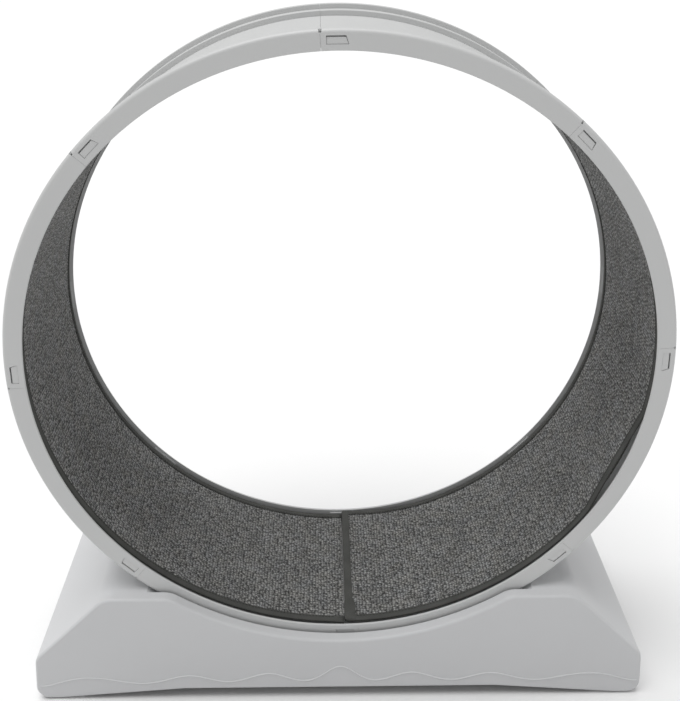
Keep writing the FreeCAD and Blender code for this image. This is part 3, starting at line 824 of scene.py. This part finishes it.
    def close_back(self, mesh: bmesh.types.BMesh, short: float) -> None:
        """Gives the face its four sides and a plain back, in long strips from edge to edge.

        Args:
            mesh: the face, in relief.
            short: an open edge under this length lies along the mat.
        """
        inset = 2 * self.tape_thick
        rim = [edge for edge in mesh.edges if edge.is_boundary]
        walls = bmesh.ops.extrude_edge_only(mesh, edges=rim)["geom"]
        lower = [item for item in walls if isinstance(item, bmesh.types.BMVert)]
        for vertex in lower:
            vertex.co.z = -self.thick
        spare = [
            vertex for vertex in lower
            if abs(vertex.co.y) < self.half_wide - inset
            and (vertex.co.x < inset or vertex.co.x > self.length - inset)
        ]
        bmesh.ops.dissolve_verts(mesh, verts=spare)
        open_edges = [edge for edge in mesh.edges if edge.is_boundary]
        along = [edge for edge in open_edges if edge.calc_length() < short]
        bmesh.ops.bridge_loops(mesh, edges=along)

    def folded(self, mesh: bmesh.types.BMesh, wide: float) -> None:
        """Folds a flat strip over an edge that lies along X at Y zero, the mat being at positive Y.

        Args:
            mesh: the strip, its Y running from minus half to half of its own width.
            wide: how far the tape reaches over each face of the mat.
        """
        turn_round = (self.thick + self.tape_thick) / 2
        bend = math.pi * turn_round
        middle = -self.thick / 2
        for vertex in mesh.verts:
            width = vertex.co.y
            if abs(width) <= bend / 2:
                angle = width / turn_round
                inward = -turn_round * math.cos(angle)
                height = middle + turn_round * math.sin(angle)
            else:
                inward = abs(width) - bend / 2
                height = middle + math.copysign(turn_round, width)
                if width > 0:
                    height += self.leaf_height(wide - inward)
            vertex.co.y = inward
            vertex.co.z = height

    def leaf_height(self, from_hem: float) -> float:
        """Relief of the tape's upper leaf: drawn down at the stitches, thicker where it turns under.

        Args:
            from_hem: distance from the leaf's inner edge.

        Returns:
            The height above a plain leaf.
        """
        from_stitch = (from_hem - self.stitch_inset) / self.drawn_wide
        drawn = -self.drawn_deep * math.exp(-(from_stitch**2))
        hem = self.hem_high if from_hem < self.stitch_inset else self.leaf_high
        return drawn + hem

    def strip(self, length: float, steps: int, wide: float) -> bmesh.types.BMesh:
        """A flat strip of tape, along X from zero, that can wrap an edge.

        Args:
            length: how long it is.
            steps: how many pieces it is divided into along its length.
            wide: how far it reaches over each face of the mat.

        Returns:
            The strip's mesh.
        """
        mesh = bmesh.new()
        wrap = 2 * wide + math.pi * (self.thick + self.tape_thick) / 2
        bmesh.ops.create_grid(mesh, x_segments=steps, y_segments=self.tape_steps_across, size=0.5)
        bmesh.ops.scale(mesh, verts=mesh.verts, vec=(length, wrap, 1.0))
        bmesh.ops.translate(mesh, verts=mesh.verts, vec=(length / 2, 0.0, 0.0))
        return mesh

    def build_edge_tape(self, edge: Edge, material: bpy.types.Material) -> bpy.types.Object:
        """The tape that binds one long edge.

        Args:
            edge: which edge.
            material: its finish.

        Returns:
            The piece.
        """
        mesh = self.strip(self.length - 2 * self.tape_thick, self.edge_tape_steps, self.tape_wide)
        self.folded(mesh, self.tape_wide)
        bmesh.ops.solidify(mesh, geom=mesh.faces[:], thickness=self.tape_thick)
        for vertex in mesh.verts:
            vertex.co.x += self.tape_thick
            vertex.co.y = edge.value * (self.half_wide - self.tape_thick - vertex.co.y)
        piece = self.finish(f"binding_{edge.name.lower()}", mesh, material)
        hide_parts("carpet_binding")
        return piece

    def build_end_tape(self, material: bpy.types.Material) -> bpy.types.Object:
        """The tape that binds the right end, over the ends of the edge tapes, wider near the front.

        Args:
            material: its finish.

        Returns:
            The piece.
        """
        mesh = self.strip(2 * self.half_wide, self.end_tape_steps, self.end_tape_wide)
        self.folded(mesh, self.end_tape_wide)
        bmesh.ops.solidify(mesh, geom=mesh.faces[:], thickness=self.tape_thick)
        for vertex in mesh.verts:
            from_front, inward, height = vertex.co
            corner = min(max((self.corner_tape_long - from_front) / self.end_tape_wide, 0.0), 1.0)
            widening = 1.0 + corner * (self.corner_tape_wide / self.end_tape_wide - 1.0)
            upward = 1.0 if height > -self.thick / 2 else -1.0
            over = self.tape_thick * self.tape_over_tape * upward
            vertex.co = (
                self.tape_thick + inward * widening,
                from_front - self.half_wide,
                height + over,
            )
        return self.finish("binding_right_end", mesh, material)

    def build_stitches(self, edge: Edge, material: bpy.types.Material) -> bpy.types.Object:
        """One row of stitches along a long edge.

        Args:
            edge: which edge.
            material: the thread's finish.

        Returns:
            The piece.
        """
        mesh = bmesh.new()
        bmesh.ops.create_uvsphere(
            mesh, u_segments=self.stitch_sides, v_segments=self.stitch_rings, radius=0.5
        )
        bmesh.ops.rotate(mesh, verts=mesh.verts, matrix=Matrix.Rotation(math.pi / 2, 3, "Y"))
        bmesh.ops.scale(
            mesh, verts=mesh.verts, vec=(self.stitch_long, self.stitch_thick, self.stitch_thick)
        )
        first = 2 * self.tape_wide
        count = int((self.length - 2 * first) / self.stitch_pitch)
        bmesh.ops.spin(
            mesh, geom=mesh.faces[:] + mesh.edges[:] + mesh.verts[:], cent=(0, 0, 0), axis=(0, 0, 1),
            dvec=(self.stitch_pitch, 0.0, 0.0), angle=0.0, steps=count, use_duplicate=True,
        )
        stitch_line = self.tape_wide - self.stitch_inset
        across = edge.value * (self.half_wide - self.tape_thick - stitch_line)
        height = self.tape_thick + self.stitch_proud
        bmesh.ops.translate(mesh, verts=mesh.verts, vec=(first, across, height))
        return self.finish(f"stitches_{edge.name.lower()}", mesh, material)

    def build(self) -> None:
        pile, tape, thread = PILE.build(), TAPE.build(), THREAD.build()
        mat = self.build_mat(pile)
        trims = [self.build_edge_tape(edge, tape) for edge in Edge]
        trims.append(self.build_end_tape(tape))
        trims += [self.build_stitches(edge, thread) for edge in Edge]


# ----------------------------------------------------------------------------------------------------
# The wheel, its base and its rollers
# ----------------------------------------------------------------------------------------------------
@dataclass
class Wheel:
    """The drum of snapped segments, with its carpet."""

    segments: int = 8
    carpet: RunningCarpet = field(default_factory=lambda: RunningCarpet(Drum()))

    def build(self) -> None:
        """Dresses the segments and builds the carpet."""
        plastic = WHEEL_PLASTIC.build()
        for number in range(1, self.segments + 1):
            dress(f"wheel_segment_{number}", plastic)
        self.carpet.build()


@dataclass
class Base:
    """The moulded base, its feet, and the cradles and rollers in it."""

    corners: tuple[str, ...] = CORNERS

    def build(self) -> None:
        """Dresses the base and everything that it carries."""
        dress("base_shell", BASE_PLASTIC.build())
        finishes = {
            "roller_cradle": CRADLE_PLASTIC.build(),
            "roller_tyre": TYRE_RUBBER.build(),
            "roller_hub": HUB_PLASTIC.build(),
            "rubber_foot": FOOT_RUBBER.build(),
        }
        steel = STEEL.build()
        for corner in self.corners:
            for piece, material in finishes.items():
                dress(f"{piece}_{corner}", material)
            dress(f"roller_bearing_{corner}", steel)
            dress(f"roller_axle_{corner}", steel)
        dress("cradle_screws", steel)


# ----------------------------------------------------------------------------------------------------
# Camera, floor and light
# ----------------------------------------------------------------------------------------------------
@dataclass(frozen=True)
class PhotoCamera:
    """The camera that took the photograph, in its frame of 680 by 701 pixels."""

    place: tuple[float, float, float] = (-0.0306, -1.4547, 1.2704)
    azimuth: float = math.radians(1.194)
    below_level: float = math.radians(19.062)
    roll: float = math.radians(0.305)
    focal_pixels: float = 972.1
    frame_height: float = 701.0
    axis_row: float = 225.61
    sensor: float = 36.0
    nearest: float = 0.05
    farthest: float = 200.0

    def build(self) -> bpy.types.Object:
        """Makes it the scene's camera.

        Returns:
            The camera.
        """
        level = math.cos(self.below_level)
        forward = Vector(
            (
                math.sin(self.azimuth) * level,
                math.cos(self.azimuth) * level,
                -math.sin(self.below_level),
            )
        )
        right = forward.cross(Vector((0, 0, 1))).normalized()
        up = right.cross(forward)
        rolled_right = right * math.cos(self.roll) + up * math.sin(self.roll)
        rolled_up = up * math.cos(self.roll) - right * math.sin(self.roll)
        data = bpy.data.cameras.new("photo_camera")
        data.sensor_fit = "AUTO"
        data.sensor_width = self.sensor
        data.lens = self.focal_pixels / self.frame_height * self.sensor
        data.shift_y = (self.axis_row - self.frame_height / 2) / self.frame_height
        data.dof.use_dof = False
        data.clip_start = self.nearest
        data.clip_end = self.farthest
        camera = bpy.data.objects.new("photo_camera", data)
        bpy.context.scene.collection.objects.link(camera)
        turned = Matrix((rolled_right, rolled_up, -forward)).transposed().to_4x4()
        camera.matrix_world = Matrix.Translation(self.place) @ turned
        bpy.context.scene.camera = camera
        return camera


@dataclass(frozen=True)
class Studio:
    """A pale floor without end, an even sky, and one soft lamp, nearly overhead and a little left.

    A level of 1 is the light that shows a white floor as white.
    """

    floor_half: float = 60.0
    floor_seen: float = 0.96
    floor_bounce: float = 0.76
    sky: float = 0.42
    lamp_level: float = 0.68
    lamp_from: tuple[float, float, float] = (-0.20, 0.0, 0.98)
    lamp_spread: float = math.radians(50.0)

    def build_floor(self) -> None:
        """A floor that looks pale and throws only some of its light back at the object."""
        mesh = bmesh.new()
        bmesh.ops.create_grid(mesh, x_segments=1, y_segments=1, size=self.floor_half)
        data = bpy.data.meshes.new("floor")
        mesh.to_mesh(data)
        mesh.free()
        floor = bpy.data.objects.new("floor", data)
        bpy.context.scene.collection.objects.link(floor)
        material = bpy.data.materials.new("floor_finish")
        material.use_nodes = True
        graph = Graph(material.node_tree)
        path = graph.node("LightPath")
        direct = graph.math("MAXIMUM", path.outputs["Is Camera Ray"], path.outputs["Is Glossy Ray"])
        shown = graph.math("MAXIMUM", direct, path.outputs["Is Transmission Ray"])
        colour = graph.blend(shown, rgba((self.floor_bounce,) * 3), rgba((self.floor_seen,) * 3))
        shader = graph.node("BsdfDiffuse")
        graph.feed(shader.inputs["Color"], colour)
        graph.feed(graph.node("OutputMaterial").inputs["Surface"], shader.outputs[0])
        data.materials.append(material)

    def build_light(self) -> None:
        """The sky and the lamp."""
        world = bpy.data.worlds.new("studio")
        world.use_nodes = True
        graph = Graph(world.node_tree)
        path = graph.node("LightPath")
        strength = graph.math("MAXIMUM", path.outputs["Is Camera Ray"], self.sky)
        shader = graph.node("Background")
        shader.inputs["Color"].default_value = (1.0, 1.0, 1.0, 1.0)
        graph.feed(shader.inputs["Strength"], strength)
        graph.feed(graph.node("OutputWorld").inputs["Surface"], shader.outputs[0])
        bpy.context.scene.world = world
        data = bpy.data.lights.new("soft_lamp", "SUN")
        data.energy = math.pi * self.lamp_level
        data.angle = self.lamp_spread
        lamp = bpy.data.objects.new("soft_lamp", data)
        bpy.context.scene.collection.objects.link(lamp)
        lamp.rotation_mode = "QUATERNION"
        lamp.rotation_quaternion = Vector(self.lamp_from).to_track_quat("Z", "Y")

    def build(self) -> None:
        """Builds the floor and the light, and sets how colours are shown."""
        self.build_floor()
        self.build_light()
        bpy.context.scene.view_settings.view_transform = "Standard"


def main() -> None:
    """Builds the camera, the studio, the wheel and the base, in that order."""
    logging.basicConfig(level=logging.INFO, format="%(message)s")
    PhotoCamera().build()
    Studio().build()
    Wheel().build()
    Base().build()


if __name__ == "__main__":
    main()
